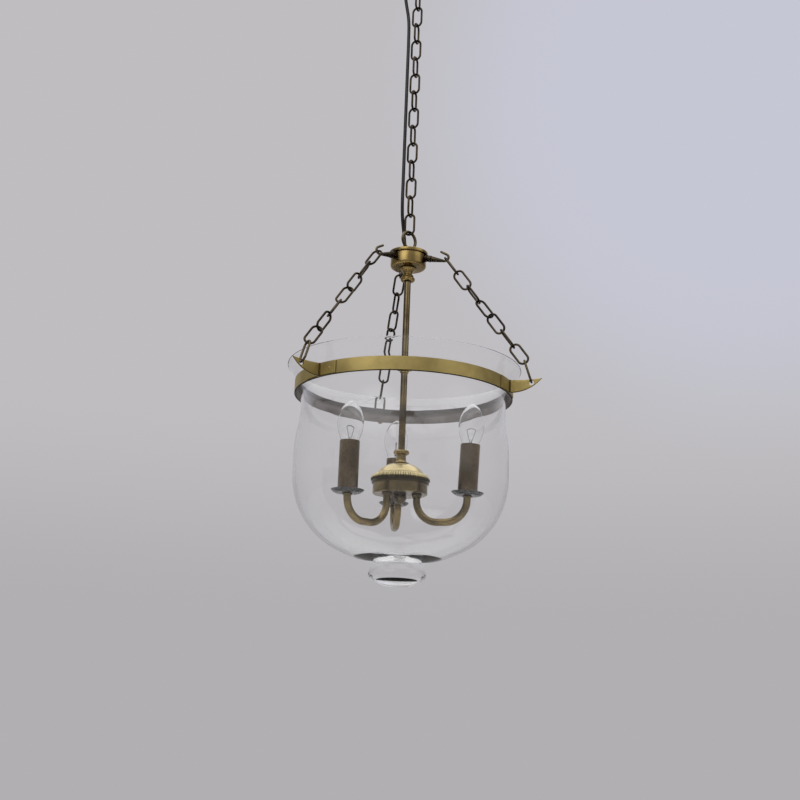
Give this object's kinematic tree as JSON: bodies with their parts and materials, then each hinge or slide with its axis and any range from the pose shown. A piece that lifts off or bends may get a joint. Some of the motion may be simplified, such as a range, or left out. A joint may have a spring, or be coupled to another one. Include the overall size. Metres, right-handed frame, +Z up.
{
  "type": "pendant chandelier",
  "caption": "Bell-jar pendant: a clear glass jar with a knob hangs by chains from a brass hub, round a candle cluster with bulbs.",
  "frame": {"origin": "centre of the canopy rim, in the plane of the ceiling", "axes": "+Z up to the ceiling, -Y to the front (the pictured side), +X to the right of the picture; the lamp hangs down along -Z"},
  "size_m": [0.3501, 0.3595, 0.9849],
  "materials": {
    "brass": "worn satin",
    "antique_brass": "antiqued, part polished",
    "olive_brass": "aged satin",
    "bronze": "dark patina",
    "steel": "zinc plated",
    "pewter": "dark satin",
    "sleeve_bronze": "antiqued satin",
    "black_rubber": "matte",
    "ivory_plastic": "matte",
    "lead": "matte",
    "socket": "matte",
    "jar_glass": "clear, gloss",
    "bulb_glass": "clear, gloss",
    "bulb_mount": "clear, gloss"
  },
  "bodies": {
    "canopy_body": {"canopy": "brass", "mounting_bar": "steel", "canopy_nipple": "brass", "canopy_loop": "brass", "cord_grip": "black_rubber", "terminal_block": "ivory_plastic", "flex_upper": "black_rubber"},
    "suspension": {"suspension_chain": "bronze", "flex_lower": "black_rubber"},
    "lamp": {"hanging_loop": "brass", "hub_lid": "brass", "hub_cup": "brass", "hub_nipple": "brass", "lid_bush": "black_rubber", "hook_rear": "antique_brass", "hook_left": "antique_brass", "hook_right": "antique_brass", "hub_neck": "brass", "upper_stem": "brass", "stem_coupler": "antique_brass", "lower_stem": "antique_brass", "cluster_neck": "antique_brass", "cluster_dome": "antique_brass", "cluster_cup": "antique_brass", "tie_rod": "brass", "finial": "antique_brass", "arm_rear": "antique_brass", "arm_left": "antique_brass", "arm_right": "antique_brass", "arm_nuts": "brass", "inner_leads": "lead", "drip_pan_rear": "pewter", "drip_pan_left": "pewter", "drip_pan_right": "pewter", "candle_sleeve_rear": "sleeve_bronze", "candle_sleeve_left": "sleeve_bronze", "candle_sleeve_right": "sleeve_bronze", "lamp_socket_rear": "socket", "lamp_socket_left": "socket", "lamp_socket_right": "socket"},
    "bowl": {"glass_jar": "jar_glass", "band": "olive_brass", "ear_rear": "olive_brass", "ear_left": "olive_brass", "ear_right": "olive_brass"},
    "bulb_rear": {"bulb_glass_rear": "bulb_glass", "bulb_cap_rear": "brass", "bulb_mount_rear": "bulb_mount"},
    "side_chain_rear": {"chain_rear": "bronze", "end_link_rear": "brass"},
    "bulb_left": {"bulb_glass_left": "bulb_glass", "bulb_cap_left": "brass", "bulb_mount_left": "bulb_mount"},
    "side_chain_left": {"chain_left": "bronze", "end_link_left": "brass"},
    "bulb_right": {"bulb_glass_right": "bulb_glass", "bulb_cap_right": "brass", "bulb_mount_right": "bulb_mount"},
    "side_chain_right": {"chain_right": "bronze", "end_link_right": "brass"}
  },
  "joints": [
    {"name": "chain_swing", "type": "hinge", "parent": "canopy_body", "child": "suspension", "pos_m": [0, 0, -0.0709], "axis": [1, 0, 0], "range_deg": [-8, 8], "deforming": ["flex_upper"]},
    {"name": "lamp_swing", "type": "hinge", "parent": "suspension", "child": "lamp", "pos_m": [0, 0, -0.47325], "axis": [0, 1, 0], "range_deg": [-8, 8], "deforming": ["flex_lower"]},
    {"name": "bowl_turn", "type": "hinge", "parent": "lamp", "child": "bowl", "pos_m": [0, 0, -0.7113], "axis": [0, 0, 1], "range_deg": [-4, 4]},
    {"name": "chain_sway_rear", "type": "hinge", "parent": "lamp", "child": "side_chain_rear", "pos_m": [-0.01078, 0.05444, -0.51585], "axis": [-0.1733, 0.8154, 0.5524], "range_deg": [-4, 4]},
    {"name": "chain_sway_left", "type": "hinge", "parent": "lamp", "child": "side_chain_left", "pos_m": [-0.04176, -0.03656, -0.51585], "axis": [-0.6046, -0.5738, 0.5525], "range_deg": [-4, 4]},
    {"name": "chain_sway_right", "type": "hinge", "parent": "lamp", "child": "side_chain_right", "pos_m": [0.05254, -0.01789, -0.51585], "axis": [0.7755, -0.3055, 0.5525], "range_deg": [-4, 4]},
    {"name": "bulb_pull_rear", "type": "slide", "parent": "lamp", "child": "bulb_rear", "axis": [0, 0, 1], "range_m": [0, 0.045]},
    {"name": "bulb_pull_left", "type": "slide", "parent": "lamp", "child": "bulb_left", "axis": [0, 0, 1], "range_m": [0, 0.045]},
    {"name": "bulb_pull_right", "type": "slide", "parent": "lamp", "child": "bulb_right", "axis": [0.0412, -0.0142, 0.999], "range_m": [0, 0.045]}
  ],
  "couplings": [
    {"joint": "chain_sway_rear", "follows": "bowl_turn", "ratio": 0.7891},
    {"joint": "chain_sway_left", "follows": "bowl_turn", "ratio": 0.789},
    {"joint": "chain_sway_right", "follows": "bowl_turn", "ratio": 0.7889}
  ]
}
